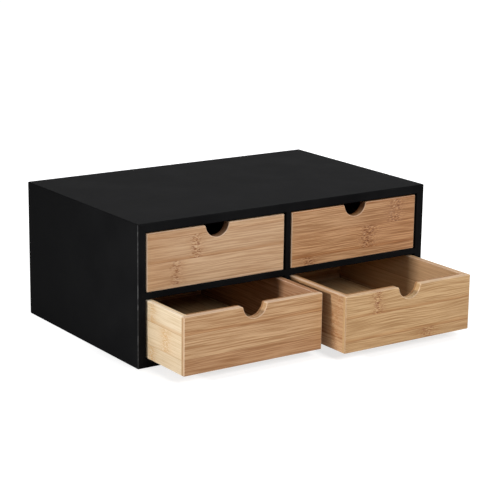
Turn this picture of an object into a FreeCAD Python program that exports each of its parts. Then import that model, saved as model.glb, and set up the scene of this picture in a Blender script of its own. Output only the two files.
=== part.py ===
import FreeCAD, Part
import math
import os

# Small desktop chest: a black carcass of mitred boards with a shelf and a divider that make four bays,
# and four bamboo drawers, each with a half-round finger notch in the top edge of its front.
# Sizes are in millimetres. X runs across the chest, Y from its open front to its back, Z up.
# The origin is the middle of the underside of the carcass.

# Carcass
case_width = 350.0
case_depth = 224.0
case_height = 143.0
panel_thickness = 9.0
inner_board_thickness = 6.0
back_thickness = 3.0
back_inset = 5.0
back_groove_depth = 4.0
housing_depth = 3.0
housing_stop = 8.0
case_edge_round = 1.0
bay_edge_break = 0.5

# Room round each drawer in its bay
side_clearance = 1.5
lower_clearance = 0.4
upper_clearance = 1.5
rear_clearance = 0.5
front_recess = 0.8

# Drawer boards
front_thickness = 9.0
wall_thickness = 7.0
front_lip = 4.0
back_rebate_depth = 3.5
base_thickness = 3.0
base_height = 4.0
base_groove_depth = 3.0
corner_round = 1.5
drawer_edge_round = 1.0
rim_edge_break = 0.5

# Finger notch in the top edge of a drawer front
notch_radius = 13.5
notch_depth = 13.0
notch_shoulder = 2.0

# How far the two lower drawers stand out of their bays, as the chest is shown
lower_left_pull = 66.0
lower_right_pull = 91.0

# Every cut runs past the surface that it opens by this much
cut_overrun = 2.0

# Places nearer than this are the same place, and faces that meet at less than this angle make no edge
same_place = 1e-5
smooth_angle = math.radians(10)

# Places in the carcass that follow from its sizes
case_right = case_width / 2
case_left = -case_right
case_back = case_depth / 2
case_front = -case_back
inner_right = case_right - panel_thickness
inner_left = -inner_right
ceiling = case_height - panel_thickness
back_rear_face = case_back - back_inset
back_front_face = back_rear_face - back_thickness
divider_right = inner_board_thickness / 2
bay_width = inner_right - divider_right
bay_height = (ceiling - panel_thickness - inner_board_thickness) / 2
shelf_underside = panel_thickness + bay_height
shelf_top = shelf_underside + inner_board_thickness
lap_middle = (case_front + back_front_face) / 2
drawer_pull = {
    ("upper", "left"): 0,
    ("upper", "right"): 0,
    ("lower", "left"): lower_left_pull,
    ("lower", "right"): lower_right_pull,
}
bay_left_edge = {"left": inner_left, "right": divider_right}
bay_floor = {"upper": shelf_top, "lower": panel_thickness}

# Sizes of a drawer, which fill the bay but for the room round it. A drawer has its own frame:
# its front face is at Y zero, its lower edge at Z zero, and X zero is its middle.
drawer_width = bay_width - 2 * side_clearance
drawer_height = bay_height - lower_clearance - upper_clearance
drawer_length = back_front_face - case_front - front_recess - rear_clearance
drawer_right = drawer_width / 2
inside_right = drawer_right - wall_thickness
inside_rear = drawer_length - wall_thickness
base_top = base_height + base_thickness


def vector(x, y, z):
    return FreeCAD.Vector(x, y, z)


def block(x_range, y_range, z_range):
    """A rectangular solid between two values on each axis."""
    width, depth, height = [high - low for low, high in (x_range, y_range, z_range)]
    return Part.makeBox(width, depth, height, vector(x_range[0], y_range[0], z_range[0]))


def even(half):
    """A range with zero in its middle."""
    return (-half, half)


def past(low, high):
    """A range that runs past both its ends by the overrun."""
    return (low - cut_overrun, high + cut_overrun)


def extruded_along_y(edges, y_range):
    """A solid whose outline in X and Z is the same all along Y. The edges are drawn at Y zero."""
    face = Part.Face(Part.Wire(edges))
    face.translate(vector(0, y_range[0], 0))
    return face.extrude(vector(0, y_range[1] - y_range[0], 0))


def is_sharp(shape, edge):
    """Tells whether the two faces beside an edge meet at an angle that can be felt."""
    middle = edge.valueAt((edge.FirstParameter + edge.LastParameter) / 2)
    faces = shape.ancestorsOfType(edge, Part.Face)
    normals = [face.normalAt(*face.Surface.parameter(middle)) for face in faces]
    return len(normals) == 2 and normals[0].getAngle(normals[1]) > smooth_angle


def sharp_edges(shape, wanted):
    """The sharp edges whose bounding box passes the test."""
    return [edge for edge in shape.Edges if wanted(edge.BoundBox) and is_sharp(shape, edge)]


def as_board(shape):
    """A board with the faces that its cuts had split joined again, as a plain solid."""
    joined = shape.removeSplitter()
    return joined.Solids[0] if len(joined.Solids) == 1 else joined


def bay_ranges(row, column):
    """The X, Y and Z ranges of one bay, from the front of the carcass to the back board."""
    left = bay_left_edge[column]
    floor = bay_floor[row]
    return (left, left + bay_width), (case_front, back_front_face), (floor, floor + bay_height)


def in_front_plane(box):
    """The edges in the front plane of the carcass, where only those of the bay mouths are still sharp."""
    return box.YMax < case_front + same_place


def carcass_form():
    """The carcass as it is when sanded for paint: its outside, its four bays and the recess behind the back.
    The boards are divided out of this form along their joints, so they always meet face to face."""
    outside = block(even(case_right), even(case_back), (0, case_height))
    form = outside.makeFillet(case_edge_round, outside.Edges)
    for row, column in drawer_pull:
        across, along, up = bay_ranges(row, column)
        form = form.cut(block(across, (along[0] - cut_overrun, along[1]), up))
    rear = (back_rear_face, case_back + cut_overrun)
    form = form.cut(block(even(inner_right), rear, (panel_thickness, ceiling)))
    return form.makeChamfer(bay_edge_break, sharp_edges(form, in_front_plane))


def outer_board_regions():
    """The rooms of the four outer boards. Each is a trapezium between two corners of the outside and the
    two inner corners beside them, so the boards meet in mitres."""
    outside = [(case_left, 0), (case_right, 0), (case_right, case_height), (case_left, case_height)]
    inside = [
        (inner_left, panel_thickness),
        (inner_right, panel_thickness),
        (inner_right, ceiling),
        (inner_left, ceiling),
    ]
    regions = {}
    for index, node in enumerate(["bottom_panel", "right_side_panel", "top_panel", "left_side_panel"]):
        follower = (index + 1) % len(outside)
        outline = [outside[index], outside[follower], inside[follower], inside[index]]
        corners = [vector(x, 0, z) for x, z in outline]
        edges = Part.makePolygon(corners + corners[:1]).Edges
        regions[node] = extruded_along_y(edges, past(case_front, case_back))
    return regions


def back_region():
    """The room of the thin back board, which is held in a groove all round the outer boards."""
    up = (panel_thickness - back_groove_depth, ceiling + back_groove_depth)
    return block(even(inner_right + back_groove_depth), (back_front_face, back_rear_face), up)


def housed_region(across, up, across_housed, up_housed):
    """The room of the shelf or the divider: the part that shows, and behind the stop a wider part whose
    ends sit in stopped housings in the outer boards."""
    showing = block(across, (case_front, back_front_face), up)
    return showing.fuse(block(across_housed, (case_front + housing_stop, back_front_face), up_housed))


def lapped_regions():
    """The rooms of the shelf and the divider. They cross in a halving joint: the divider is whole in the
    front half of the crossing, and the shelf is whole in the rear half."""
    shelf_up = (shelf_underside, shelf_top)
    divider_across = even(divider_right)
    divider_up = (panel_thickness, ceiling)
    divider_up_housed = (panel_thickness - housing_depth, ceiling + housing_depth)
    shelf = housed_region(even(inner_right), shelf_up, even(inner_right + housing_depth), shelf_up)
    divider = housed_region(divider_across, divider_up, divider_across, divider_up_housed)
    front_half = block(divider_across, (case_front - cut_overrun, lap_middle), shelf_up)
    rear_half = block(divider_across, (lap_middle, back_front_face + cut_overrun), shelf_up)
    return {"shelf": shelf.cut(front_half), "divider": divider.cut(rear_half)}


def make_carcass():
    """The seven boards of the carcass by node name."""
    form = carcass_form()
    regions = lapped_regions()
    regions["back_panel"] = back_region()
    boards = {node: form.common(region) for node, region in regions.items()}
    for node, region in outer_board_regions().items():
        boards[node] = form.common(region)
        for let_in in regions.values():
            boards[node] = boards[node].cut(let_in)
    return boards


def notch_cutter():
    """The solid that cuts the finger notch. One round arc dips below the top edge of the front, and on
    each side a small shoulder arc runs tangent into it and into the edge."""
    centre_height = drawer_height + notch_radius - notch_depth
    shoulder_height = drawer_height - notch_shoulder
    reach = notch_radius + notch_shoulder
    rise = centre_height - shoulder_height
    shoulder_x = math.sqrt(reach**2 - rise**2)
    share = notch_radius / reach
    turned = (math.pi / 2 + math.atan2(rise, -shoulder_x)) / 2
    half_turn_x = shoulder_x + notch_shoulder * math.cos(turned)
    half_turn_z = shoulder_height + notch_shoulder * math.sin(turned)

    def outline_points(side):
        edge_end = vector(side * shoulder_x, 0, drawer_height)
        half_turn = vector(side * half_turn_x, 0, half_turn_z)
        meeting = vector(side * shoulder_x * share, 0, centre_height - rise * share)
        above = vector(side * shoulder_x, 0, drawer_height + cut_overrun)
        return edge_end, half_turn, meeting, above

    left_end, left_turn, left_meeting, left_above = outline_points(-1)
    right_end, right_turn, right_meeting, right_above = outline_points(1)
    lowest = vector(0, 0, drawer_height - notch_depth)
    edges = [
        Part.makeLine(left_above, left_end),
        Part.Arc(left_end, left_turn, left_meeting).toShape(),
        Part.Arc(left_meeting, lowest, right_meeting).toShape(),
        Part.Arc(right_meeting, right_turn, right_end).toShape(),
        Part.makeLine(right_end, right_above),
        Part.makeLine(right_above, left_above),
    ]
    return extruded_along_y(edges, past(0, front_thickness))


def within_walls(box):
    """The edges of a drawer's inside and of the hollow under its base."""
    across = box.XMin > -inside_right - same_place and box.XMax < inside_right + same_place
    along = box.YMin > front_thickness - same_place and box.YMax < inside_rear + same_place
    return across and along


def outside_walls(box):
    """The edges of a drawer's outside, with the front edge of the notch."""
    return not within_walls(box)


def in_rim(box):
    """The inner edges of the rim, with the rear edge of the notch."""
    return within_walls(box) and box.ZMin > drawer_height - notch_depth - same_place


def drawer_form():
    """A drawer as it is when sanded: its outside, its inside, the hollow under its base and the notch. The
    outer edges are rounded, and the inner edges of the rim are only broken."""
    outside = block(even(drawer_right), (0, drawer_length), (0, drawer_height))
    uprights = [edge for edge in outside.Edges if edge.BoundBox.ZLength > drawer_height / 2]
    form = outside.makeFillet(corner_round, uprights)
    inside = (even(inside_right), (front_thickness, inside_rear))
    form = form.cut(block(*inside, (base_top, drawer_height + cut_overrun)))
    form = form.cut(block(*inside, (-cut_overrun, base_height)))
    form = form.cut(notch_cutter())
    form = form.makeFillet(drawer_edge_round, sharp_edges(form, outside_walls))
    return form.makeChamfer(rim_edge_break, sharp_edges(form, in_rim))


def drawer_regions():
    """The rooms of the boards of a drawer. The front is rebated at both ends, so that only a thin lip of it
    shows beside the walls. The rear ends of the walls are rebated for the back."""
    up = past(0, drawer_height)
    lip = block(past(-drawer_right, drawer_right), (-cut_overrun, front_lip), up)
    between = block(even(inside_right), (-cut_overrun, front_thickness), up)
    rear = (inside_rear, drawer_length + cut_overrun)
    walls_along = (front_lip, drawer_length + cut_overrun)
    return {
        "front": lip.fuse(between),
        "back": block(even(inside_right + back_rebate_depth), rear, up),
        "left_wall": block((-drawer_right - cut_overrun, -inside_right), walls_along, up),
        "right_wall": block((inside_right, drawer_right + cut_overrun), walls_along, up),
    }


def base_region():
    """The room of the thin base, which is held in a groove in all four boards round it."""
    along = (front_thickness - base_groove_depth, inside_rear + base_groove_depth)
    return block(even(inside_right + base_groove_depth), along, (base_height, base_top))


def make_drawer():
    """The five boards of a drawer, in the drawer's own frame."""
    form = drawer_form()
    base = base_region()
    regions = drawer_regions()
    boards = {"base": form.common(base)}
    for name, region in regions.items():
        boards[name] = form.common(region).cut(base)
    for name in ("left_wall", "right_wall"):
        boards[name] = boards[name].cut(regions["back"])
    return boards


def place_drawer(boards, row, column):
    """Copies of the boards in their bay, standing out of it as far as the chest is shown."""
    across, along, up = bay_ranges(row, column)
    middle = (across[0] + across[1]) / 2
    face = along[0] + front_recess - drawer_pull[row, column]
    place = vector(middle, face, up[0] + lower_clearance)
    drawer = "%s_%s_drawer" % (row, column)
    return {"%s_%s" % (drawer, name): board.translated(place) for name, board in boards.items()}


def export(node, shape):
    shape.exportStep("parts/%s.step" % node)
    print("%-32s %9.0f cubic mm, valid %s" % (node, shape.Volume, shape.isValid()))


def main():
    os.makedirs("parts", exist_ok=True)
    chest = make_carcass()
    drawer = {name: as_board(board) for name, board in make_drawer().items()}
    for row, column in drawer_pull:
        chest.update(place_drawer(drawer, row, column))
    for node, board in chest.items():
        export(node, as_board(board))


main()
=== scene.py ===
# %% [markdown]
# # A desk chest with four bamboo drawers
# The real chest is a case of black painted boards, with four small drawers of laminated bamboo. Its
# boards are modelled and measured already, so this lesson loads them as they are and gives them their
# looks: a camera, soft studio light, and finishes that are worked out from formulas, with no pictures.
# The boards come first, because the camera, the light and every finish below are placed by them.

# %% Load the measured boards
import math
import random

import bpy
from mathutils import Matrix, Vector


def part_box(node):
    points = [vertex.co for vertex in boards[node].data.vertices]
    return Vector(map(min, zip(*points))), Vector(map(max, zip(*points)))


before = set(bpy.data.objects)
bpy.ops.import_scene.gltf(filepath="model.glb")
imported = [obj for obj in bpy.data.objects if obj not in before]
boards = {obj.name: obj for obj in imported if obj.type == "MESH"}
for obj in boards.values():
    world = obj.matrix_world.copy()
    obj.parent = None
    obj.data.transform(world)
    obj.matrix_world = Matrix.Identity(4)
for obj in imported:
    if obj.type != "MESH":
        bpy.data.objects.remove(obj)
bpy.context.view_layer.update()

# %% [markdown]
# ## Units and colours
# Blender counts in metres here, but a maker thinks in millimetres and a painter in colours from 0 to 255.
# A screen colour is stored with a curve, and light adds up without it, so a painter's number is
# straightened before a shader uses it.

# %% Millimetres and paint colours
MM = 0.001


def straight(channel):
    """One channel of a screen colour, 0 to 255, as an amount of light."""
    value = channel / 255
    return value / 12.92 if value <= 0.04045 else ((value + 0.055) / 1.055) ** 2.4


def colour(red, green, blue):
    """A screen colour as the four numbers of a shader socket."""
    return (straight(red), straight(green), straight(blue), 1.0)


print("mid grey as an amount of light:", round(straight(128), 3))

# %% [markdown]
# ## The camera
# The chest is seen from its left and a little above, through a long lens. A camera could be placed by
# eye, but the corners of the case give its angle and distance exactly: it looks at a point in the front
# plane of the case and stands away from it along two angles. The slight roll is that of a camera held by
# hand. The standard view shows a colour as it is, where the usual one would grey the white and soften the
# black.

# %% Place the camera
looked_at = Vector((-46.55 * MM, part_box("top_panel")[0].y, 101.2 * MM))
camera_distance = 1636.7 * MM
camera_azimuth = math.radians(-34.66)
camera_elevation = math.radians(14.45)
camera_roll = math.radians(0.80)


def direction(azimuth, elevation):
    """The way from the chest to something that stands round it. Azimuth 0 is straight in front."""
    flat = math.cos(elevation)
    return Vector((math.sin(azimuth) * flat, -math.cos(azimuth) * flat, math.sin(elevation)))


backwards = direction(camera_azimuth, camera_elevation)
level = Vector((math.cos(camera_azimuth), math.sin(camera_azimuth), 0))
rightwards = level * math.cos(camera_roll) + backwards.cross(level) * math.sin(camera_roll)
turned = Matrix((rightwards, backwards.cross(rightwards), backwards)).transposed().to_4x4()

camera = bpy.data.objects.new("camera", bpy.data.cameras.new("camera"))
bpy.context.scene.collection.objects.link(camera)
camera.matrix_world = Matrix.Translation(looked_at + backwards * camera_distance) @ turned
camera.data.sensor_width = 36
camera.data.lens = 119.6
bpy.context.scene.camera = camera
bpy.context.scene.view_settings.view_transform = "Standard"
print("the camera stands at", [round(x, 3) for x in camera.matrix_world.translation])

# %% [markdown]
# ## Helpers for shader nodes
# A finish is a small machine of shader nodes. Each could be clicked together by hand, but in a script a
# few helpers keep it readable. These four feed a socket, add a node with its inputs, and do arithmetic on
# numbers and on vectors, so that each step of a finish is one short line below.

# %% Add a node and feed it
def feed(tree, socket, value):
    """Gives an input socket a plain value, or a link from an output socket."""
    if isinstance(value, bpy.types.NodeSocket):
        tree.links.new(value, socket)
    else:
        socket.default_value = value


def add(tree, kind, inputs=None, **options):
    """Adds a node of a kind with its options, feeds its inputs by name, and returns its outputs."""
    made = tree.nodes.new("ShaderNode" + kind)
    for option, value in options.items():
        setattr(made, option, value)
    for name, value in (inputs or {}).items():
        feed(tree, made.inputs[name], value)
    return made.outputs


def calc(tree, operation, *values):
    """One step of arithmetic."""
    made = tree.nodes.new("ShaderNodeMath")
    made.operation = operation
    for socket, value in zip(made.inputs, values):
        feed(tree, socket, value)
    return made.outputs["Value"]


def vector_calc(tree, operation, *values):
    """One step of arithmetic on vectors."""
    made = tree.nodes.new("ShaderNodeVectorMath")
    made.operation = operation
    for socket, value in zip(made.inputs, values):
        feed(tree, socket, value)
    return made.outputs["Value" if operation in ("DOT_PRODUCT", "DISTANCE") else "Vector"]


print("an added node gives back its outputs, ready to be fed on")

# %% [markdown]
# ## Fades, bells, mixes and noise
# Most finishes come down to four steps: a smooth change from one value to another, a bell shape round a
# place, a mix of two colours, and cloudy noise. A fade with its start above its end runs the other way.
# The noise takes its size along each axis, so the same helper gives round clouds and long fibres.

# %% Fades, bells, mixes and noise
def fade(tree, value, start, end, low=0.0, high=1.0):
    """Changes smoothly from low to high while the value goes from start to end."""
    ends = {"From Min": start, "From Max": end, "To Min": low, "To Max": high}
    return add(tree, "MapRange", {"Value": value, **ends}, interpolation_type="SMOOTHSTEP")["Result"]


def bell(tree, distance, width):
    """1 where the distance is zero, falling away smoothly over the width on both sides."""
    share = calc(tree, "DIVIDE", distance, width)
    return calc(tree, "EXPONENT", calc(tree, "MULTIPLY", calc(tree, "MULTIPLY", share, share), -1.0))


def product(tree, first, *others):
    """All the values multiplied."""
    for other in others:
        first = calc(tree, "MULTIPLY", first, other)
    return first


def mix(tree, amount, first, second, how="MIX"):
    """Mixes two colours. How says whether the second covers or multiplies the first."""
    made = tree.nodes.new("ShaderNodeMix")
    made.data_type = "RGBA"
    made.blend_type = how
    for socket, value in zip((made.inputs[0], made.inputs[6], made.inputs[7]), (amount, first, second)):
        feed(tree, socket, value)
    return made.outputs[2]


def noise(tree, place, sizes, seed, detail=2.0):
    """Cloudy noise whose lumps have the given sizes along the three axes of the place."""
    scaled = vector_calc(tree, "DIVIDE", place, sizes)
    settings = {"Vector": scaled, "W": seed, "Scale": 1.0, "Detail": detail}
    return add(tree, "TexNoise", settings, noise_dimensions="4D")["Fac"]


print("steps at hand: fade, bell, product, mix and noise")

# %% [markdown]
# ## Helpers for groups and materials
# An effect that several finishes share, such as grain, is a node group: a box with named inputs and
# outputs that is built once and then placed in each material with its own values. The group gives only
# colours, masks and heights, and the shader stays in the material, so that an export can still read it.

# %% Start a group, place a group, start a material
SOCKET_KINDS = {float: "NodeSocketFloat", 3: "NodeSocketVector", 4: "NodeSocketColor"}


def start_group(name, takes, gives):
    """A new group with the inputs that it takes and the outputs that it gives, each with a first value.
    Returns its tree, the sockets that bring its inputs, and the sockets that its outputs are fed to."""
    tree = bpy.data.node_groups.new(name, "ShaderNodeTree")
    for side, sockets in (("INPUT", takes), ("OUTPUT", gives)):
        for label, value in sockets.items():
            kind = SOCKET_KINDS[float if isinstance(value, float) else len(value)]
            tree.interface.new_socket(name=label, in_out=side, socket_type=kind).default_value = value
    return tree, tree.nodes.new("NodeGroupInput").outputs, tree.nodes.new("NodeGroupOutput").inputs


def use(tree, group, inputs):
    """Places a group and returns its outputs."""
    made = tree.nodes.new("ShaderNodeGroup")
    made.node_tree = group
    for name, value in inputs.items():
        feed(tree, made.inputs[name], value)
    return made.outputs


def start_material(name):
    """A new material, its tree, and the inputs of its Principled shader."""
    made = bpy.data.materials.new(name)
    made.use_nodes = True
    return made, made.node_tree, made.node_tree.nodes["Principled BSDF"].inputs


def bump(tree, height):
    """A surface normal from a height in millimetres."""
    return add(tree, "Bump", {"Height": height, "Distance": MM, "Strength": 1.0})["Normal"]


print("kinds of group socket:", ", ".join(SOCKET_KINDS.values()))

# %% [markdown]
# ## White surroundings
# The chest stands before a white background. More lamps would bleach the wood, so the white is given only
# to the rays that look at the surroundings, straight or by way of a glossy surface, while the rays that
# light the chest find a dimmer, slightly cool grey.

# %% White for the eye, grey for the light
def looking_rays(tree):
    """1 for the rays that show the surroundings, and 0 for those that gather light."""
    path = add(tree, "LightPath")
    seen = calc(tree, "MAXIMUM", path["Is Camera Ray"], path["Is Glossy Ray"])
    return calc(tree, "MAXIMUM", seen, path["Is Transmission Ray"])


WHITE = (1.0, 1.0, 1.0, 1.0)
COOL_WHITE = (0.94, 0.97, 1.0, 1.0)
ambient_level = 0.13
world = bpy.data.worlds.new("white studio")
world.use_nodes = True
bpy.context.scene.world = world
tree = world.node_tree
ambient = add(tree, "Background", {"Color": COOL_WHITE, "Strength": ambient_level})["Background"]
white = add(tree, "Background", {"Color": WHITE, "Strength": 1.0})["Background"]
shown = add(tree, "MixShader", {0: looking_rays(tree), 1: ambient, 2: white})["Shader"]
tree.links.new(shown, tree.nodes["World Output"].inputs["Surface"])
print("the surroundings light the chest at a level of", ambient_level)

# %% [markdown]
# ## The floor
# The chest lies on a white paper sweep that can't be told from the background. A plain white floor would
# show as grey, and a glowing one would swallow the shadow. So the paper has a glow of its own and a share
# of true shading: round the front of the chest the glow is weaker, which leaves the soft shadow under the
# drawers, and further out it is full, which makes plain white. The light that the chest gets from below
# comes from ordinary paper.

# %% The floor
floor_half = 3.0
floor_glow = 0.72
floor_shading = 0.42
paper_white = 0.78
shadow_pool = Vector((30 * MM, -200 * MM, 0))
pool_edge = (0.22, 0.34)
corners = [(-floor_half, -floor_half, 0), (floor_half, -floor_half, 0)]
corners += [(floor_half, floor_half, 0), (-floor_half, floor_half, 0)]
floor_mesh = bpy.data.meshes.new("floor")
floor_mesh.from_pydata(corners, [], [(0, 1, 2, 3)])
floor = bpy.data.objects.new("floor", floor_mesh)
bpy.context.scene.collection.objects.link(floor)

floor_finish, tree, _ = start_material("white paper sweep")
tree.nodes.remove(tree.nodes["Principled BSDF"])
paper = add(tree, "BsdfDiffuse", {"Color": (paper_white, paper_white, paper_white, 1.0)})["BSDF"]
from_pool = vector_calc(tree, "DISTANCE", add(tree, "TexCoord")["Object"], shadow_pool)
strength = fade(tree, from_pool, *pool_edge, floor_glow, 1.0)
shaded = add(tree, "BsdfDiffuse", {"Color": (floor_shading, floor_shading, floor_shading, 1.0)})["BSDF"]
glow = add(tree, "Emission", {"Color": WHITE, "Strength": strength})["Emission"]
looked_upon = add(tree, "AddShader", {0: shaded, 1: glow})["Shader"]
shown = add(tree, "MixShader", {0: looking_rays(tree), 1: paper, 2: looked_upon})["Shader"]
tree.links.new(shown, tree.nodes["Material Output"].inputs["Surface"])
floor_mesh.materials.append(floor_finish)
print("floor:", 2 * floor_half, "metres square")

# %% [markdown]
# ## Soft studio lamps
# Product light comes from large soft panels. The left one is small and stands far off, nearly level with
# the case's front, so its shadows are crisp: it brightens the left sides and leaves the gap between the
# lower drawers dark. A grid over it lets only a narrow beam through, turned a little ahead of the case,
# and so the case fades towards its back. A second panel lights the fronts from ahead and above, one hangs
# overhead, and one behind on the right keeps the far sides from sinking into black. None of them shows in
# glossy paint, where its mirror image would be a grey patch. A panel's power means little by itself, so
# each is set by what it does: how bright it makes a white card that faces it. That keeps the sum of all
# the lamps at a plain level, where a colour renders about as it is written.

# %% Four soft panels
def soft_panel(name, azimuth, elevation, distance, size, card_brightness, spread=180, ahead=0):
    """A square lamp panel that makes a white card at the chest this bright. The spread is the angle in
    degrees that its grid lets through, and ahead is how many millimetres before the case it is aimed."""
    lamp = bpy.data.lights.new(name, "AREA")
    lamp.shape = "SQUARE"
    lamp.size = size
    lamp.spread = math.radians(spread)
    half = lamp.spread / 2
    gathered = math.tan(half) / (math.tan(half) - half) if spread < 180 else 1.0
    lamp.energy = card_brightness * (math.pi * distance) ** 2 / gathered
    stand = bpy.data.objects.new(name, lamp)
    bpy.context.scene.collection.objects.link(stand)
    way = direction(math.radians(azimuth), math.radians(elevation))
    stand.location = looked_at + way * distance
    stand.rotation_mode = "QUATERNION"
    faced = looked_at + Vector((0, -ahead * MM, 0))
    stand.rotation_quaternion = (faced - stand.location).to_track_quat("-Z", "Y")
    stand.visible_camera = False
    stand.visible_glossy = False
    print(name, "power in watts:", round(lamp.energy, 2))


soft_panel("left panel", -91.7, 16, 3.0, 0.22, 1.17, spread=12.5, ahead=70)
soft_panel("front panel", 6, 32, 1.7, 0.6, 0.78)
soft_panel("overhead panel", 0, 84, 1.6, 0.9, 0.27)
soft_panel("rear panel", 140, 28, 1.9, 0.9, 0.45)

# %% [markdown]
# ## A place on a board
# Grain has to follow the board that it is on. Painting each board by hand would give that, and so would
# an unwrapped picture, but a formula needs only to know where it is: how far along the grain, how far
# across it and how deep in the board. This group works that out from one corner of the board and its
# three directions, in millimetres. It also tells the two broad faces, on the skin side of the bamboo,
# from the sawn sides, and the faces that show the cut ends of the fibres.

# %% Group: board place
def board_place_group():
    takes = {
        "Corner": (0.0, 0.0, 0.0), "Along": (1.0, 0.0, 0.0), "Across": (0.0, 0.0, -1.0),
        "Through": (0.0, 1.0, 0.0),
    }
    gives = {"Place": (0.0, 0.0, 0.0), "End Face": 0.0, "Skin Side": 0.0}
    end_facing = (0.6, 0.85)
    skin_facing = (0.05, 0.2)
    tree, start, end = start_group("board place", takes, gives)
    surface = add(tree, "TexCoord")
    offset = vector_calc(tree, "SUBTRACT", surface["Object"], start["Corner"])
    measured = {}
    for axis, way in zip("XYZ", ("Along", "Across", "Through")):
        measured[axis] = calc(tree, "DIVIDE", vector_calc(tree, "DOT_PRODUCT", offset, start[way]), MM)
    feed(tree, end["Place"], add(tree, "CombineXYZ", measured)["Vector"])
    facing = calc(tree, "ABSOLUTE", vector_calc(tree, "DOT_PRODUCT", surface["Normal"], start["Along"]))
    feed(tree, end["End Face"], fade(tree, facing, *end_facing))
    facing = calc(tree, "ABSOLUTE", vector_calc(tree, "DOT_PRODUCT", surface["Normal"], start["Through"]))
    feed(tree, end["Skin Side"], fade(tree, facing, *skin_facing))
    return tree


board_place = board_place_group()
print("group:", board_place.name, [item.name for item in board_place.interface.items_tree])

# %% [markdown]
# ## Eased edges
# A maker rubs the edges of a board with fine paper, and hands go on doing it. The rounding or bevel is in
# the mesh, so the edges can be found from it: on a flat face the normal points straight along one axis,
# and on an eased edge it leans between two. That lean makes a mask, which costs nothing and stays right
# from every side. A second mask keeps only the upright edges, which hands brush against most, and a third
# only the narrow ridge in the middle of those, where the normal leans furthest. The finishes use these
# masks for wear and also for painted light: a painted highlight on eased edges and on the case's upright
# edges, and painted highlight and shade on the ridges of the fronts' corners.

# %% Group: eased edges
def eased_edges_group():
    gives = {"Edge": 0.0, "Upright": 0.0, "Upright Ridge": 0.0}
    level_normal = (0.3, 0.1)
    ridge_lean = (0.12, 0.22)
    tree, start, end = start_group("eased edges", {"Lean": 0.12}, gives)
    normal = vector_calc(tree, "ABSOLUTE", add(tree, "TexCoord")["Normal"])
    parts = add(tree, "SeparateXYZ", {"Vector": normal})
    straightest = calc(tree, "MAXIMUM", calc(tree, "MAXIMUM", parts["X"], parts["Y"]), parts["Z"])
    lean = calc(tree, "SUBTRACT", 1.0, straightest)
    edge = fade(tree, lean, 0.01, start["Lean"])
    level = fade(tree, parts["Z"], *level_normal)
    feed(tree, end["Edge"], edge)
    feed(tree, end["Upright"], calc(tree, "MULTIPLY", edge, level))
    feed(tree, end["Upright Ridge"], calc(tree, "MULTIPLY", fade(tree, lean, *ridge_lean), level))
    return tree


eased_edges = eased_edges_group()
print("group:", eased_edges.name)

# %% [markdown]
# ## Strips
# Bamboo is a hollow cane, so a board of it is glued up from strips about 24 mm wide. Each strip comes
# from another cane and has a tone of its own, darker towards one edge, and a hair-thin glue line runs
# between two. The strips could be separate meshes, but they are sanded flush, so a formula is enough: it
# counts the strips across the board, and a random number for each count gives the tone. A board is two
# layers thick, and the strips of the inner layer are set off from those of the outer one.

# %% Group: bamboo strips
STRIP_WIDTH = 23.6


def bamboo_strips_group():
    takes = {
        "Place": (0.0, 0.0, 0.0), "Strip Width": STRIP_WIDTH, "First Edge": 0.0, "Layer": 4.5, "Seed": 0.0,
    }
    gives = {"Tone": 0.5, "Warmth": 0.5, "Glue Line": 0.0, "Dark Side": 0.0}
    inner_shift_share = 0.43
    glue_half_width = (0.45, 0.1)
    dark_side_shares = (0.8, 0.96)
    tree, start, end = start_group("bamboo strips", takes, gives)
    place = add(tree, "SeparateXYZ", {"Vector": start["Place"]})
    layer = calc(tree, "GREATER_THAN", place["Z"], start["Layer"])
    shift = calc(tree, "MULTIPLY", start["Strip Width"], inner_shift_share)
    set_off = calc(tree, "MULTIPLY", layer, shift)
    from_edge = calc(tree, "SUBTRACT", calc(tree, "SUBTRACT", place["Y"], start["First Edge"]), set_off)
    counted = calc(tree, "DIVIDE", from_edge, start["Strip Width"])
    strip = calc(tree, "FLOOR", counted)
    share = calc(tree, "SUBTRACT", counted, strip)

    which = add(tree, "CombineXYZ", {"X": strip, "Y": layer, "Z": start["Seed"]})["Vector"]
    chance = add(tree, "TexWhiteNoise", {"Vector": which}, noise_dimensions="3D")
    feed(tree, end["Tone"], chance["Value"])
    parts = add(tree, "SeparateColor", {"Color": chance["Color"]})
    feed(tree, end["Warmth"], parts["Green"])

    nearest = calc(tree, "MINIMUM", share, calc(tree, "SUBTRACT", 1.0, share))
    to_edge = calc(tree, "MULTIPLY", nearest, start["Strip Width"])
    to_layer = calc(tree, "ABSOLUTE", calc(tree, "SUBTRACT", place["Z"], start["Layer"]))
    to_glue = calc(tree, "MINIMUM", to_edge, to_layer)
    feed(tree, end["Glue Line"], fade(tree, to_glue, *glue_half_width))
    dark_side = fade(tree, share, *dark_side_shares)
    feed(tree, end["Dark Side"], calc(tree, "MULTIPLY", dark_side, fade(tree, parts["Blue"], 0.2, 0.8)))
    return tree


bamboo_strips = bamboo_strips_group()
print("group:", bamboo_strips.name)

# %% [markdown]
# ## Fibres
# Bamboo has no year rings. Its figure is thousands of straight fibres that run the whole length of the
# strip, seen as fine streaks, with short dark pores between them. Noise that is stretched a hundredfold
# along the grain looks just like that. Three sizes of streak are used, because one alone looks like
# brushed metal, and the fibres wander a little, as the cane did when it grew.

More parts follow.
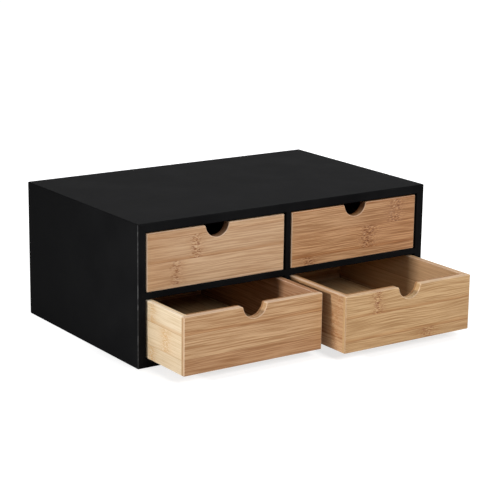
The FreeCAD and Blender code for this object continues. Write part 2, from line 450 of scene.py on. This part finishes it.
# %% Group: bamboo fibres
def bamboo_fibres_group():
    takes = {"Place": (0.0, 0.0, 0.0), "Bend": 0.0, "Wander": 1.5, "Seed": 0.0}
    gives = {"Fine": 0.5, "Streak": 0.5, "Broad": 0.5, "Pores": 0.0}
    tree, start, end = start_group("bamboo fibres", takes, gives)
    shift = start["Bend"]
    for sizes, reach in (((85.0, 30.0, 30.0), 3.0), ((30.0, 9.0, 9.0), 0.6)):
        sway = calc(tree, "SUBTRACT", noise(tree, start["Place"], sizes, start["Seed"], detail=1.0), 0.5)
        shift = calc(tree, "ADD", shift, product(tree, sway, start["Wander"], reach))
    bent = vector_calc(tree, "ADD", start["Place"], add(tree, "CombineXYZ", {"Y": shift})["Vector"])
    figures = {
        "Fine": ((42.0, 0.85, 0.85), 0.38, 0.62), "Streak": ((90.0, 1.9, 1.9), 0.34, 0.66),
        "Broad": ((190.0, 6.0, 6.0), 0.3, 0.7), "Pores": ((9.0, 0.35, 0.35), 0.6, 0.72),
    }
    for output, (sizes, none_at, full_at) in figures.items():
        feed(tree, end[output], fade(tree, noise(tree, bent, sizes, start["Seed"], 1.0), none_at, full_at))
    return tree


bamboo_fibres = bamboo_fibres_group()
print("group:", bamboo_fibres.name)

# %% [markdown]
# ## Knuckles
# A cane of bamboo is closed by a wall every foot or so. Where a strip crosses one, its fibres swirl round
# short brown dashes and light flecks, one to two centimetres along the grain, and all of it ends sharply
# at the edges of the strip. Each knuckle is placed where the board shows it: how far along the board it
# is, on which strip, and how wide and strong. The group gives the dashes, the flecks, a soft halo round
# them, and how far the fibres bend aside.

# %% Group: bamboo knuckle
def bamboo_knuckle_group():
    takes = {
        "Place": (0.0, 0.0, 0.0), "At": 0.0, "From": 0.0, "To": 20.0, "Deep": 4.5,
        "Width": 7.0, "Strength": 1.0, "Seed": 0.0,
    }
    gives = {"Specks": 0.0, "Flecks": 0.0, "Halo": 0.0, "Bend": 0.0}
    strip_edge = (-0.1, 0.3)
    crook_reach, swirl_reach = 12.0, 5.0
    tree, start, end = start_group("bamboo knuckle", takes, gives)
    place = add(tree, "SeparateXYZ", {"Vector": start["Place"]})
    crook = calc(tree, "SUBTRACT", noise(tree, start["Place"], (200.0, 6.0, 6.0), start["Seed"]), 0.5)
    off = calc(tree, "MULTIPLY_ADD", crook, crook_reach, calc(tree, "SUBTRACT", place["X"], start["At"]))
    below_top = fade(tree, calc(tree, "SUBTRACT", place["Y"], start["From"]), *strip_edge)
    above_bottom = fade(tree, calc(tree, "SUBTRACT", start["To"], place["Y"]), *strip_edge)
    in_layer = fade(tree, calc(tree, "SUBTRACT", start["Deep"], place["Z"]), -0.1, 0.1)
    strip = product(tree, below_top, above_bottom, in_layer, start["Strength"])

    halo = product(tree, bell(tree, off, calc(tree, "MULTIPLY", start["Width"], 1.5)), strip)
    core = product(tree, bell(tree, off, start["Width"]), strip)
    patchy = fade(tree, noise(tree, start["Place"], (6.0, 4.0, 4.0), start["Seed"]), 0.3, 0.5)
    dashes = fade(tree, noise(tree, start["Place"], (3.4, 0.85, 0.85), start["Seed"], 1.0), 0.48, 0.56)
    other = calc(tree, "ADD", start["Seed"], 31.0)
    lights = fade(tree, noise(tree, start["Place"], (5.0, 1.0, 1.0), other, 1.0), 0.5, 0.6)
    feed(tree, end["Specks"], product(tree, dashes, patchy, core))
    feed(tree, end["Flecks"], product(tree, lights, core))
    feed(tree, end["Halo"], halo)
    swirl = calc(tree, "SUBTRACT", noise(tree, start["Place"], (5.0, 3.0, 3.0), start["Seed"]), 0.5)
    feed(tree, end["Bend"], product(tree, swirl, halo, swirl_reach))
    return tree


bamboo_knuckle = bamboo_knuckle_group()
print("group:", bamboo_knuckle.name)

# %% [markdown]
# ## End grain
# Where bamboo is cut across, the fibres show as brown dots in a paler ground, closer together towards the
# skin of the cane. A cell pattern gives such dots: each cell has one fibre in its middle.

# %% Group: bamboo end grain
def bamboo_end_grain_group():
    takes = {"Place": (0.0, 0.0, 0.0), "Spacing": 0.75, "Seed": 0.0}
    tree, start, end = start_group("bamboo end grain", takes, {"Dots": 0.0})
    place = add(tree, "SeparateXYZ", {"Vector": start["Place"]})
    cut = add(tree, "CombineXYZ", {"X": place["Y"], "Y": place["Z"], "Z": start["Seed"]})["Vector"]
    spacing = add(tree, "CombineXYZ", {axis: start["Spacing"] for axis in "XYZ"})["Vector"]
    scaled = vector_calc(tree, "DIVIDE", cut, spacing)
    cells = add(tree, "TexVoronoi", {"Vector": scaled, "Scale": 1.0}, voronoi_dimensions="3D")
    feed(tree, end["Dots"], fade(tree, cells["Distance"], 0.42, 0.2))
    return tree


bamboo_end_grain = bamboo_end_grain_group()
print("group:", bamboo_end_grain.name)

# %% [markdown]
# ## Handling marks
# No finish has the same gloss all over. Fingers, a cloth and the spray gun leave faint patches that only
# show where light glances off. They are a slow noise that the roughness follows, in paint and lacquer
# alike.

# %% Group: handling marks
def handling_marks_group():
    tree, start, end = start_group("handling marks", {"Size": 30.0, "Seed": 0.0}, {"Marks": 0.5})
    place = vector_calc(tree, "DIVIDE", add(tree, "TexCoord")["Object"], (MM, MM, MM))
    size = add(tree, "CombineXYZ", {axis: start["Size"] for axis in "XYZ"})["Vector"]
    feed(tree, end["Marks"], fade(tree, noise(tree, place, size, start["Seed"], 4.0), 0.3, 0.7))
    return tree


handling_marks = handling_marks_group()
print("group:", handling_marks.name)

# %% [markdown]
# ## Stains in the wood
# What makes bamboo lively is a set of small stains over its pale and deep fibres: a tone for each strip,
# a darker edge to it, the glue, a redder strip, a blush towards one end of the board, the pores, and a
# halo round each knuckle. On the left wall of the lower right drawer the blush is painted shade, where
# the lower left drawer shades the wall. A stain could cover the wood, but each of these multiplies it, as
# a glaze does, so that the fibres go on showing through.

# %% Stained wood
STAINS = {
    "strip tone": (0.78, 0.74, 0.7, 1.0),
    "strip warmth": (1.0, 0.9, 0.78, 1.0),
    "dark side": (0.84, 0.7, 0.56, 1.0),
    "glue line": (0.66, 0.54, 0.44, 1.0),
    "red strip": (0.8, 0.7, 0.63, 1.0),
    # the blush also serves as painted shade on one wall
    "blush_and_shade": (0.86, 0.78, 0.7, 1.0),
    "pores": (0.7, 0.6, 0.5, 1.0),
    "halo": (0.9, 0.78, 0.64, 1.0),
}
FLECK_WARMTH = (1.0, 0.85, 0.6, 1.0)


def stained_wood(tree, start, strips, fibres, where):
    """The colour of the broad faces, from the fibres, the stains and the knuckles."""
    fine = calc(tree, "MULTIPLY", fibres["Fine"], 0.76)
    streaks = calc(tree, "MULTIPLY_ADD", fibres["Streak"], 0.24, fine)
    depth = calc(tree, "MULTIPLY_ADD", fibres["Broad"], 0.12, streaks)
    amounts = {
        "strip tone": product(tree, strips["Tone"], start["Strip Contrast"]),
        "strip warmth": product(tree, strips["Warmth"], start["Strip Contrast"]),
        "dark side": product(tree, strips["Dark Side"], 0.75),
        "glue line": product(tree, strips["Glue Line"], 0.7),
        "red strip": fade(tree, calc(tree, "SUBTRACT", where["Y"], start["Red Below"]), -0.2, 0.2),
        "blush_and_shade": fade(tree, where["X"], start["Blush And Shade From"], start["Blush And Shade To"]),
        "pores": product(tree, fibres["Pores"], 0.4),
        "halo": product(tree, start["Halo"], 0.5),
    }
    tint = mix(tree, depth, start["Pale"], start["Deep"])
    for stain, amount in amounts.items():
        tint = mix(tree, amount, tint, STAINS[stain], "MULTIPLY")
    fleck = mix(tree, 0.12, start["Pale"], FLECK_WARMTH)
    tint = mix(tree, product(tree, start["Flecks"], 0.5), tint, fleck)
    return mix(tree, product(tree, start["Specks"], 0.95), tint, start["Speck Colour"])


print("stains:", ", ".join(STAINS))

# %% [markdown]
# ## Ends, rubbed edges and painted edge light
# The cut ends have dots in place of streaks. The edges are paler than the faces, partly because they were
# sanded last and the lacquer is thin on them, and partly as a painted highlight where the rounding would
# catch the light. The upright corners of a front get a colour of their own, which is painted light: a
# painted highlight on most drawers, and painted shade on the lower right one, whose right side is in shade.

# %% Ends and edges
CUT_FIBRE = (0.6, 0.45, 0.32, 1.0)


def sanded(tree, start):
    """Freshly sanded wood, also the colour of painted highlights: the pale fibres, a quarter whitened."""
    return mix(tree, 0.25, start["Pale"], WHITE)


def ends_and_edges(tree, start, tint, dots, edges):
    """Lays the dotted ends, rubbed edges with a painted highlight and painted corner light over the wood."""
    ends = mix(tree, 0.4, start["Pale"], start["Deep"])
    ends = mix(tree, product(tree, dots, 0.6), ends, CUT_FIBRE, "MULTIPLY")
    tint = mix(tree, start["End Face"], tint, ends)
    # eased edges: paler sanded wood, and partly a painted highlight
    rubbed = calc(tree, "SUBTRACT", edges["Edge"], edges["Upright Ridge"])
    rubbed = product(tree, rubbed, start["Skin Side"], 0.4)
    tint = mix(tree, rubbed, tint, sanded(tree, start))
    # painted light on the upright ridge of a front: a highlight on most fronts, shade on the lower right one
    return mix(tree, product(tree, edges["Upright Ridge"], 0.6), tint, start["Corner Painted Light"])


print("a cut fibre multiplies the wood by", CUT_FIBRE[:3])

# %% [markdown]
# ## Top edge and finger notch, with painted light and shade
# The top edge of a drawer is sawn wood that a hand meets first. It shows both layers of the board: the
# inner one browner, partly as painted shade for the dark inner side of the notch, and the outer one
# rubbed pale, with a painted highlight on it. In the notch of a shut drawer little light gets past the
# case, and that shade is painted in: on the upper drawers its upper part is dusky and it clears towards
# the bottom, and on the lower drawers its lower part gets painted light over the shadow of the notch's
# rim. The masks are ranges on the board in millimetres, so they fit every drawer.

# %% Top edge and notch
TOP_EDGE = (1.2, 0.3)
NOTCH_HALF_WIDTH = (22.0, 18.0)
NOTCH_FROM = (0.3, 1.5)
NOTCH_TO = (30.0, 25.0)
NOTCH_PAINTED_SHADE_RANGE = (5.0, 13.0)


def top_and_notch_painted_light(tree, start, tint, where):
    """Gives the sawn sides a browner, shaded inner layer and paints light and shade on top edge and notch.
    """
    sawn = calc(tree, "SUBTRACT", 1.0, start["Skin Side"])
    # the inner layer of the sawn sides is browner, partly as painted shade for the notch's dark inner side
    inner = fade(tree, calc(tree, "SUBTRACT", where["Z"], start["Layer"]), -0.1, 0.1)
    tint = mix(tree, product(tree, sawn, inner), tint, start["Inner Tone And Shade"], "MULTIPLY")
    outer = calc(tree, "SUBTRACT", 1.0, inner)
    # painted highlight: the outer layer of the top edge is lightened towards the sanded colour
    top = product(tree, sawn, fade(tree, where["Y"], *TOP_EDGE), outer, start["Top Painted Highlight"])
    tint = mix(tree, top, tint, sanded(tree, start))
    # painted shade and light in the notch: dusky at the top, clearing towards the bottom, lighter on lower
    # drawers
    aside = calc(tree, "ABSOLUTE", calc(tree, "SUBTRACT", where["X"], start["Notch At"]))
    notch = product(tree, sawn, fade(tree, aside, *NOTCH_HALF_WIDTH), fade(tree, where["Y"], *NOTCH_FROM))
    notch = product(tree, notch, fade(tree, where["Y"], *NOTCH_TO))
    painted_shade_fade = fade(tree, where["Y"], *NOTCH_PAINTED_SHADE_RANGE)
    shade = mix(tree, painted_shade_fade, start["Notch Top Painted Shading"], start["Notch Bottom Painted Shading"])
    return mix(tree, notch, tint, shade, "MULTIPLY")


print("the notch clears between", NOTCH_PAINTED_SHADE_RANGE[0], "and", NOTCH_PAINTED_SHADE_RANGE[1], "mm below the top edge")

# %% [markdown]
# ## The look of a bamboo board
# All the parts of the grain come together in one group, because twenty boards use it. It takes the place
# on the board, the figure of the board and what its knuckles give. It gives a colour, a roughness and a
# height in millimetres, and the shader stays in each material. Pores, glue lines and dashes lie a few
# hundredths of a millimetre deep, which is enough to break the gloss.

# %% Group: bamboo board
def bamboo_board_group():
    takes = {
        "Place": (0.0, 0.0, 0.0), "End Face": 0.0, "Skin Side": 1.0, "Pale": colour(206, 168, 126),
        "Deep": colour(170, 124, 84), "Strip Width": STRIP_WIDTH, "First Edge": 0.0, "Layer": 4.5,
        "Wander": 1.5, "Red Below": 999.0, "Blush And Shade From": 900.0, "Blush And Shade To": 999.0,
        "Speck Colour": colour(120, 70, 38), "Specks": 0.0, "Flecks": 0.0, "Halo": 0.0, "Bend": 0.0,
        "Corner Painted Light": WHITE, "Strip Contrast": 0.5, "Top Painted Highlight": 0.0, "Inner Tone And Shade": WHITE,
        "Notch At": -999.0, "Notch Top Painted Shading": WHITE, "Notch Bottom Painted Shading": WHITE, "Seed": 0.0,
    }
    gives = {"Colour": (0.5, 0.5, 0.5, 1.0), "Roughness": 0.5, "Height": 0.0}
    tree, start, end = start_group("bamboo board", takes, gives)
    shared = {"Place": start["Place"], "Seed": start["Seed"]}
    strip_inputs = {name: start[name] for name in ("Strip Width", "First Edge", "Layer")}
    strips = use(tree, bamboo_strips, {**shared, **strip_inputs})
    fibres = use(tree, bamboo_fibres, {**shared, "Bend": start["Bend"], "Wander": start["Wander"]})
    dots = use(tree, bamboo_end_grain, shared)["Dots"]
    edges = use(tree, eased_edges, {})
    marks = use(tree, handling_marks, {"Size": 24.0, "Seed": start["Seed"]})["Marks"]
    where = add(tree, "SeparateXYZ", {"Vector": start["Place"]})

    tint = stained_wood(tree, start, strips, fibres, where)
    tint = ends_and_edges(tree, start, tint, dots, edges)
    feed(tree, end["Colour"], top_and_notch_painted_light(tree, start, tint, where))

    smoothest = 0.44
    rough = calc(tree, "MULTIPLY_ADD", fibres["Fine"], 0.08, smoothest)
    rough = calc(tree, "MULTIPLY_ADD", marks, 0.08, rough)
    feed(tree, end["Roughness"], calc(tree, "MULTIPLY_ADD", start["End Face"], 0.12, rough))
    height = calc(tree, "MULTIPLY", fibres["Fine"], -0.012)
    for part, sunk in ((fibres["Pores"], -0.03), (strips["Glue Line"], -0.02), (start["Specks"], -0.03)):
        height = calc(tree, "MULTIPLY_ADD", part, sunk, height)
    feed(tree, end["Height"], height)
    return tree


bamboo_board = bamboo_board_group()
print("group:", bamboo_board.name, "with", len(bamboo_board.nodes), "nodes")

# %% [markdown]
# ## Which way each drawer board lies
# The fibres of a front or a back run across the chest, and those of a wall or a base run from front to
# back. Each kind of board is described by three directions, and they also say which corner it is
# measured from. The depth in a board is zero on its outer face, and for a base on its upper one, so that
# the face that shows has the strips chosen below.

# %% Directions of the five boards of a drawer
RIGHT, LEFT = Vector((1, 0, 0)), Vector((-1, 0, 0))
BACK, FRONT = Vector((0, 1, 0)), Vector((0, -1, 0))
DOWN = Vector((0, 0, -1))
BOARD_WAYS = {
    "front": (RIGHT, DOWN, BACK),
    "back": (RIGHT, DOWN, FRONT),
    "left_wall": (BACK, DOWN, RIGHT),
    "right_wall": (BACK, DOWN, LEFT),
    "base": (BACK, RIGHT, DOWN),
}


def corner_of(low, high, ways):
    """The corner of a box from which all three directions lead into it."""
    into = sum(ways, Vector((0, 0, 0)))
    return Vector([a if way > 0 else b for a, b, way in zip(low, high, into)])


print("directions for", ", ".join(BOARD_WAYS))

# %% [markdown]
# ## The tones of the wood
# Each board is mixed from two fibre colours, a pale one and a deep one, as a painter would mix it from
# two pots. The four fronts differ most: the upper left one is tan, the upper right one redder, and the
# lower ones are yellow and olive. The walls are paler or rosier, and the thin base boards are warm and
# light. The single colours are for the dashes of the knuckles and for the painted highlight and painted
# shade on the corners. The last four are painted shade and painted light for a notch: they multiply the
# wood, and a value above 1 lightens it.

# %% Colours of the wood
TAN = (colour(209, 179, 147), colour(181, 146, 113))
RED = (colour(202, 161, 121), colour(154, 111, 74))
YELLOW = (colour(194, 160, 122), colour(155, 116, 78))
OLIVE = (colour(193, 160, 118), colour(155, 119, 78))
STRAW = (colour(228, 210, 182), colour(211, 189, 155))
RED_STRAW = (colour(197, 165, 129), colour(166, 128, 92))
PEACH = (colour(188, 156, 122), colour(169, 138, 104))
ROSY = (colour(180, 142, 112), colour(146, 106, 76))
BASE_TONES = (colour(208, 176, 136), colour(184, 146, 104))

BROWN = colour(122, 68, 36)
DARK_BROWN = colour(104, 54, 28)
HONEY = colour(196, 146, 84)
NUT = colour(158, 108, 68)
# painted light for the upright corners of the fronts: a highlight, and a shade for the lower right one
CORNER_PAINTED_HIGHLIGHT = colour(226, 200, 170)
CORNER_PAINTED_SHADE = colour(100, 70, 44)
# painted shade and painted light for the notch, multiplied over the wood
NOTCH_PAINTED_DEEP_SHADE = (0.36, 0.27, 0.22, 1.0)
NOTCH_PAINTED_SOFT_SHADE = (0.6, 0.52, 0.5, 1.0)
NOTCH_PAINTED_LIGHT = (1.2, 1.28, 1.45, 1.0)
NOTCH_PAINTED_STRONG_LIGHT = (1.25, 1.4, 1.6, 1.0)
print("the pale fibres of the tan front, as amounts of light:", [round(part, 2) for part in TAN[0][:3]])

# %% [markdown]
# ## The figure of each board
# No two boards of bamboo are alike, so each drawer has a figure of its own, and the boards that can be
# seen have their own knuckles. A knuckle is written as where it lies along the board in millimetres, on
# which strip counted down from the top edge, how wide it is and how strong. A figure starts with how far
# below the top edge its first glue line lies, its knuckles and its pair of tones, and the rest is named:
# how much the fibres wander, where a redder strip starts, where a blush starts and is full, which on one
# wall is painted shade, the colour of the dashes, the painted light of the corners, the painted highlight
# on the top edge, and the painted shade and light of the notch.

# %% Figures listed one by one
def figure(first_edge, knuckles, tones, wander, red_below=999.0, blush_and_shade=(900.0, 999.0), speck=BROWN,
           corner=CORNER_PAINTED_HIGHLIGHT, top_painted_highlight=0.0, notch=(WHITE, WHITE)):
    """The figure of one board, by name, so that a board lists only what is its own."""
    return {
        "First Edge": first_edge, "knuckles": knuckles, "Pale": tones[0], "Deep": tones[1], "Wander": wander,
        "Red Below": red_below, "Blush And Shade From": blush_and_shade[0], "Blush And Shade To": blush_and_shade[1], "Speck Colour": speck,
        "Corner Painted Light": corner, "Top Painted Highlight": top_painted_highlight, "Notch Top Painted Shading": notch[0], "Notch Bottom Painted Shading": notch[1],
    }


FIGURE = {
    "upper_left_drawer_front": figure(
        7.0, [(56, 1, 6, 1.0), (33, 2, 6, 0.8)], TAN, wander=1.1, blush_and_shade=(75.0, -10.0),
        notch=(NOTCH_PAINTED_DEEP_SHADE, NOTCH_PAINTED_SOFT_SHADE),
    ),
    "upper_right_drawer_front": figure(
        1.5, [(134, 1, 9, 0.9), (98, 2, 10, 1.0), (23, 3, 7, 1.0)], RED, wander=0.9, blush_and_shade=(60.0, 170.0),
        speck=DARK_BROWN, notch=(NOTCH_PAINTED_DEEP_SHADE, WHITE),
    ),
    "lower_left_drawer_front": figure(
        18.0, [], YELLOW, wander=0.6, red_below=41.6, top_painted_highlight=0.55, notch=(WHITE, NOTCH_PAINTED_LIGHT),
    ),
    "lower_right_drawer_front": figure(
        23.0, [(40, 0, 6, 1.0), (106, 2, 9, 0.8)], OLIVE, wander=3.0, corner=CORNER_PAINTED_SHADE, top_painted_highlight=0.3,
        notch=(WHITE, NOTCH_PAINTED_STRONG_LIGHT),
    ),
    "lower_left_drawer_left_wall": figure(
        19.0, [(29, 1, 7, 0.8), (52, 0, 5, 0.8), (52, 2, 6, 0.8)], STRAW, wander=1.0, speck=HONEY,
        top_painted_highlight=0.6,
    ),
    "lower_left_drawer_right_wall": figure(11.0, [], ROSY, wander=1.0),
    # painted shade: the blush from 8 to 34 mm darkens this wall behind the front of the lower left drawer
    "lower_right_drawer_left_wall": figure(
        20.0, [(8, 0, 6, 0.7), (13, 1, 8, 0.9), (12, 2, 7, 0.6)], RED_STRAW, wander=2.5, speck=NUT,
        blush_and_shade=(8.0, 34.0), top_painted_highlight=0.6,
    ),
    "lower_right_drawer_right_wall": figure(14.0, [], PEACH, wander=1.0),
}
print("figures set by hand:", len(FIGURE))

# %% [markdown]
# ## Figures by chance
# The other boards are seen only from the back or when a drawer is drawn out. They get their strips,
# knuckles and tones by chance, each from a seed that is its own name, so that they differ and yet come
# out the same every time.

# %% Figures by chance
KNUCKLE_CHANCE = 0.45
KNUCKLE_MARGIN = 15
KNUCKLE_WIDTHS = (5, 9)
KNUCKLE_STRENGTH = 0.8


def guessed_figure(name):
    """A figure by chance, the same each time for a board of this name."""
    chance = random.Random(name)
    low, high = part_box(name)
    length = max(high.x - low.x, high.y - low.y) / MM
    knuckles = []
    for strip in range(3):
        if chance.random() < KNUCKLE_CHANCE:
            along = round(chance.uniform(KNUCKLE_MARGIN, length - KNUCKLE_MARGIN))
            knuckles.append((along, strip, chance.uniform(*KNUCKLE_WIDTHS), KNUCKLE_STRENGTH))
    tones = chance.choice([TAN, YELLOW, OLIVE])
    if name.endswith("_base"):
        tones = BASE_TONES
    return figure(round(chance.uniform(3, STRIP_WIDTH), 1), knuckles, tones, chance.uniform(0.8, 2.0))


guessed = guessed_figure("upper_left_drawer_back")
print("the upper left back has its first glue line at", guessed["First Edge"], "mm")

# %% [markdown]
# ## Knuckles on a board
# A board has up to three knuckles, and the look of the board wants one mask of dashes, one of flecks, one
# halo and one bend. So each knuckle is placed as a group of its own, and their outputs are joined: the
# masks by the largest, so that two knuckles don't double, and the bends by their sum.

# %% Place the knuckles of a board
def placed_knuckles(tree, place, knuckles, first_edge, layer, seed):
    """The joined masks of a board's knuckles, by the name of the input that they are for."""
    seen = []
    for along, strip, width, strength in knuckles:
        top = first_edge + (strip - 1) * STRIP_WIDTH
        span = {"At": float(along), "From": top, "To": top + STRIP_WIDTH, "Deep": layer}
        looks = {"Width": float(width), "Strength": strength, "Seed": seed + strip}
        seen.append(use(tree, bamboo_knuckle, {"Place": place, **span, **looks}))
    joined = {}
    for output, how in (("Specks", "MAXIMUM"), ("Flecks", "MAXIMUM"), ("Halo", "MAXIMUM"), ("Bend", "ADD")):
        for knuckle in seen:
            if output in joined:
                joined[output] = calc(tree, how, joined[output], knuckle[output])
            else:
                joined[output] = knuckle[output]
    return joined


print("knuckles on the upper right front:", len(FIGURE["upper_right_drawer_front"]["knuckles"]))

# %% [markdown]
# ## The bamboo finish
# One function makes the material of a board: it places the groups and joins them to one Principled
# shader. The lacquer is matt, so the gloss is low and broad. A front has its glue line at two thirds of
# its thickness, with a thin browner layer inside, whose tone is partly painted shade for the dark inner
# side of the notch, and the other boards have theirs in the middle. The boards keep the meshes that were
# measured, and only their material slots change.

# %% Finish the boards of the drawers
LACQUER_GLOSS = 0.35
SEED_STEP = 3.7
INNER_LAYER_TONE_AND_SHADE = (0.72, 0.62, 0.54, 1.0)


def bamboo_finish(name, seed):
    """The material of one board, by its name."""
    look = dict(FIGURE.get(name) or guessed_figure(name))
    knuckles = look.pop("knuckles")
    ways = BOARD_WAYS[name.split("_drawer_")[1]]
    low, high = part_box(name)
    is_front = name.endswith("_front")
    outer_share = 2 / 3 if is_front else 1 / 2
    layer = min(high - low) / MM * outer_share
    finish, tree, shader = start_material("bamboo_" + name)
    where = {"Corner": corner_of(low, high, ways), **dict(zip(("Along", "Across", "Through"), ways))}
    place = use(tree, board_place, where)
    masks = placed_knuckles(tree, place["Place"], knuckles, look["First Edge"], layer, seed)
    inputs = {
        "Place": place["Place"], "End Face": place["End Face"], "Skin Side": place["Skin Side"],
        "Strip Width": STRIP_WIDTH, "Layer": layer, "Seed": seed, **look, **masks,
    }
    if is_front:
        inputs["Notch At"] = (high.x - low.x) / MM / 2
        # the inner layer of a front: a browner tone and painted shade
        inputs["Inner Tone And Shade"] = INNER_LAYER_TONE_AND_SHADE
    board = use(tree, bamboo_board, inputs)
    feed(tree, shader["Base Color"], board["Colour"])
    feed(tree, shader["Roughness"], board["Roughness"])
    feed(tree, shader["Normal"], bump(tree, board["Height"]))
    shader["Specular IOR Level"].default_value = LACQUER_GLOSS
    return finish


drawer_boards = sorted(name for name in boards if "_drawer_" in name)
for number, name in enumerate(drawer_boards):
    boards[name].data.materials[0] = bamboo_finish(name, SEED_STEP * number)
print("bamboo boards finished:", len(drawer_boards))

# %% [markdown]
# ## Hairline seams
# Two boards that meet in a mitre are filled and painted over, and yet the joint shows as a line thinner
# than a hair. The line could be cut in the mesh, but at this width a mask is enough: 1 where the distance
# to the joint is nearly zero, with a soft side.

# %% Group: hairline seam
def hairline_group():
    tree, start, end = start_group("hairline seam", {"Distance": 0.0, "Width": 0.12}, {"Line": 0.0})
    away = calc(tree, "ABSOLUTE", start["Distance"])
    feed(tree, end["Line"], fade(tree, away, start["Width"], calc(tree, "MULTIPLY", start["Width"], 0.3)))
    return tree


hairline = hairline_group()
print("group:", hairline.name)

# %% [markdown]
# ## Where the mitres run
# The outer boards meet at 45 degrees in each corner of the front. There the distance to the side of the
# case and the distance to its top or underside are the same, so their difference tells how far a point is
# from the joint. It counts only within the thickness of the boards.

# %% Mitre lines
side_low, side_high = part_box("left_side_panel")
case_half_width = -side_low.x / MM
case_half_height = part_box("top_panel")[1].z / MM / 2
outer_thickness = (side_high.x - side_low.x) / MM
mitre_width = 0.14


def mitre_line(tree, place):
    """1 on the hairlines where the mitred boards of the case meet in its front and back."""
    parts = add(tree, "SeparateXYZ", {"Vector": place})
    to_side = calc(tree, "SUBTRACT", case_half_width, calc(tree, "ABSOLUTE", parts["X"]))
    from_middle = calc(tree, "ABSOLUTE", calc(tree, "SUBTRACT", parts["Z"], case_half_height))
    to_level = calc(tree, "SUBTRACT", case_half_height, from_middle)
    apart = calc(tree, "DIVIDE", calc(tree, "SUBTRACT", to_side, to_level), math.sqrt(2))
    line = use(tree, hairline, {"Distance": apart, "Width": mitre_width})["Line"]
    return calc(tree, "MULTIPLY", line, calc(tree, "LESS_THAN", to_side, outer_thickness))


print("the outer boards are", round(outer_thickness, 2), "mm thick")

# %% [markdown]
# ## The black paint
# The case is sprayed with a soft black that is neither flat nor glossy. Sprayed paint dries with a faint
# skin like an orange's, so the light on it breaks up a little. Along the upright outer edges the paint is
# greyer in spots, which is partly worn paint and partly a painted highlight, where the rounded edge would
# catch the lamp. All the boards share one material, because one coat covers the whole case, and only the
# hardboard at the back is duller. White surroundings in a glossy black would turn it grey, so the gloss is
# kept very low.

# %% Finish the case
PAINT_BLACK = colour(14, 14, 15)
PAINT_WORN_AND_HIGHLIGHT = colour(84, 84, 84)
SEAM_SHADE = (0.3, 0.3, 0.3, 1.0)
PAINT_GLOSS = 0.006
OUTER_EDGE = 2.0
MARK_SIZE = 45.0
WORN_SPOTS = (6.0, 6.0, 6.0)
ORANGE_SKIN = (1.3, 1.3, 1.3)


def paint_finish(name, roughness):
    """The black paint: handling marks, worn edges with a painted highlight, orange skin, mitre hairlines."""
    finish, tree, shader = start_material(name)
    place = vector_calc(tree, "DIVIDE", add(tree, "TexCoord")["Object"], (MM, MM, MM))
    from_middle = calc(tree, "ABSOLUTE", add(tree, "SeparateXYZ", {"Vector": place})["X"])
    outermost = calc(tree, "GREATER_THAN", from_middle, case_half_width - OUTER_EDGE)
    edge = calc(tree, "MULTIPLY", use(tree, eased_edges, {})["Upright"], outermost)
    marks = use(tree, handling_marks, {"Size": MARK_SIZE, "Seed": 2.0})["Marks"]
    worn = fade(tree, noise(tree, place, WORN_SPOTS, 5.0, 3.0), 0.4, 0.7)
    skin = noise(tree, place, ORANGE_SKIN, 7.0, 1.0)
    seam = mitre_line(tree, place)

    tint = mix(tree, product(tree, marks, 0.5), PAINT_BLACK, mix(tree, 0.08, PAINT_BLACK, PAINT_WORN_AND_HIGHLIGHT))
    # worn paint and a painted highlight on the upright outer edges, greyer in spots
    tint = mix(tree, product(tree, edge, fade(tree, worn, 0.0, 1.0, 0.35, 0.9)), tint, PAINT_WORN_AND_HIGHLIGHT)
    feed(tree, shader["Base Color"], mix(tree, product(tree, seam, 0.7), tint, SEAM_SHADE, "MULTIPLY"))
    rough = calc(tree, "MULTIPLY_ADD", marks, 0.1, roughness)
    feed(tree, shader["Roughness"], calc(tree, "MULTIPLY_ADD", edge, -0.06, rough))
    height = calc(tree, "MULTIPLY_ADD", seam, -0.03, calc(tree, "MULTIPLY", skin, 0.008))
    feed(tree, shader["Normal"], bump(tree, height))
    shader["Specular IOR Level"].default_value = PAINT_GLOSS
    return finish


paint = paint_finish("satin_black_paint", 0.5)
painted_boards = ["top_panel", "bottom_panel", "left_side_panel", "right_side_panel", "shelf", "divider"]
for name in painted_boards:
    boards[name].data.materials[0] = paint
boards["back_panel"].data.materials[0] = paint_finish("matt_black_hardboard", 0.8)
print("painted boards:", len(painted_boards) + 1)
